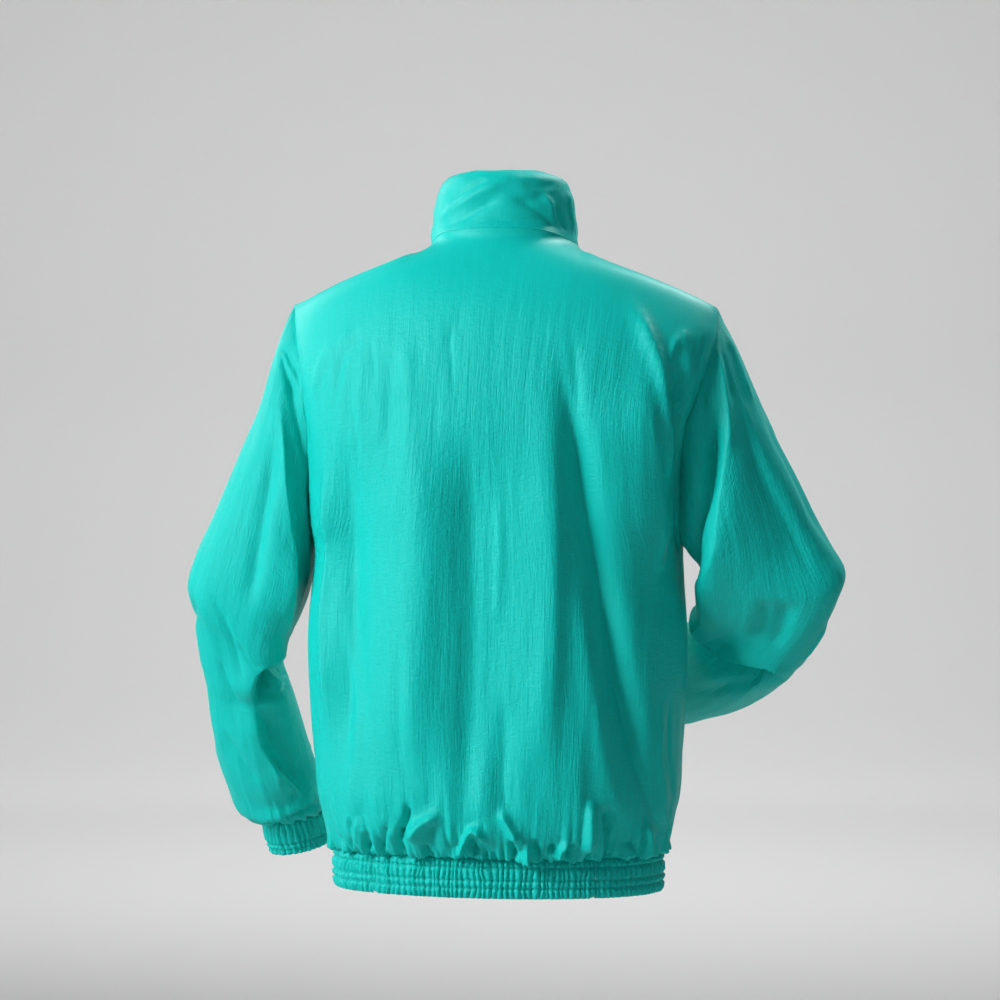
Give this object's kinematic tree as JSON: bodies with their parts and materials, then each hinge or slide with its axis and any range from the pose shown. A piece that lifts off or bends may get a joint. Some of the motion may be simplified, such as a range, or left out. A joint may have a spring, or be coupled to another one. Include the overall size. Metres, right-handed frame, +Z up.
{
  "type": "windbreaker jacket",
  "caption": "Zipped nylon windbreaker in its worn shape, with a stand collar, set-in sleeves, and elastic cuffs and hem band.",
  "frame": {"origin": "middle of the neck, level with the seam at the nape", "axes": "+Z up along the body, -Y out of the zipped front, +Y out of the back, +X to the wearer's left"},
  "size_m": [0.7283, 0.3943, 0.7799],
  "materials": {
    "nylon": "satin",
    "zip_tape": "matte",
    "zip_teeth": "satin",
    "zip_metal": "satin"
  },
  "bodies": {
    "jacket": {"back": "nylon", "front_left": "nylon", "front_right": "nylon", "sleeve_left": "nylon", "sleeve_right": "nylon", "collar": "nylon", "hem_band_back": "nylon", "hem_band_left": "nylon", "hem_band_right": "nylon", "cuff_left": "nylon", "cuff_right": "nylon", "zip_tape_left": "zip_tape", "zip_tape_right": "zip_tape", "zip_chain": "zip_teeth", "zip_slider": "zip_metal"},
    "pull": {"zip_pull": "zip_metal"}
  },
  "joints": [
    {"name": "pull_swing", "type": "hinge", "parent": "jacket", "child": "pull", "pos_m": [0, -0.07603, -0.00474], "axis": [-1, 0, 0], "range_deg": [0, 165]}
  ]
}
